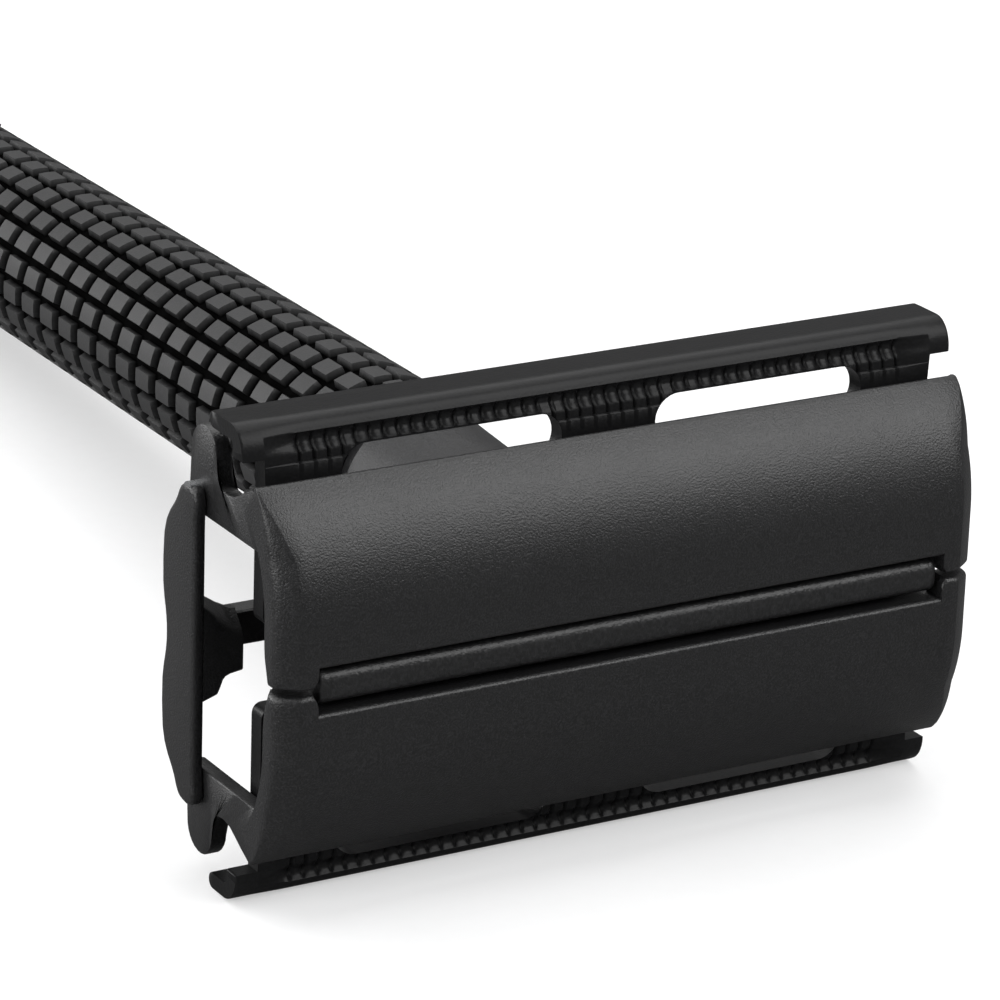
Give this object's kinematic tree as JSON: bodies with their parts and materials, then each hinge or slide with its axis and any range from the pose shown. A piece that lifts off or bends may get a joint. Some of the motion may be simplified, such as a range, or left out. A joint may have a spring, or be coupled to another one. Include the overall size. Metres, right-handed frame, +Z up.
{
  "type": "safety razor",
  "caption": "Twist-to-open safety razor: hinged doors close over a slotted guard plate and centre bar; a lifting yoke and a twist knob run in a ringed grip tube.",
  "frame": {"origin": "middle of the outline on the ground the razor lies on, under its lower guard lip and its knob", "axes": "+X along the head, +Y from the head along the handle towards the knob, +Z up; the handle's axis is tilted 4.7 degrees from level, because the head is wider than the knob"},
  "size_m": [0.0452, 0.0984, 0.0266],
  "materials": {
    "black_head": "satin black, fine grain",
    "black_grip": "matte black, ringed and knurled",
    "steel": "turned",
    "brass": "turned",
    "rubber": "matte"
  },
  "bodies": {
    "handle": {"guard_plate": "black_head", "centre_bar": "black_head", "bar_rivets": "steel", "plate_screws": "steel", "neck_collar": "black_head", "rod_guide": "brass", "grip_tube": "black_grip", "ring_nut": "brass"},
    "lift": {"yoke": "black_head", "hinge_pins": "steel", "lift_rod": "steel", "rod_screw": "steel"},
    "upper_door": {"upper_door": "black_head"},
    "lower_door": {"lower_door": "black_head"},
    "knob": {"knob_shell": "black_grip", "knob_sleeve": "brass", "knob_cap": "black_grip", "knob_pin": "steel", "thrust_washer": "brass", "friction_ring": "rubber"}
  },
  "joints": [
    {"name": "knob_turn", "type": "hinge", "parent": "handle", "child": "knob", "pos_m": [0, 0.04449, 0.00618], "axis": [0, 0.9967, -0.0815], "range_deg": [0, 540]},
    {"name": "yoke_lift", "type": "slide", "parent": "handle", "child": "lift", "axis": [0, -0.9967, 0.0815], "range_m": [0, 0.0059]},
    {"name": "upper_door_hinge", "type": "hinge", "parent": "lift", "child": "upper_door", "pos_m": [0, -0.03884, 0.02143], "axis": [-1, 0, 0], "range_deg": [0, 80]},
    {"name": "lower_door_hinge", "type": "hinge", "parent": "lift", "child": "lower_door", "pos_m": [0, -0.04021, 0.00469], "axis": [1, 0, 0], "range_deg": [0, 80]}
  ],
  "couplings": [
    {"joint": "knob_turn", "follows": "yoke_lift", "rad_per_m": 1597.4},
    {"joint": "upper_door_hinge", "follows": "yoke_lift", "rad_per_m": 236.66},
    {"joint": "lower_door_hinge", "follows": "yoke_lift", "rad_per_m": 236.66}
  ]
}
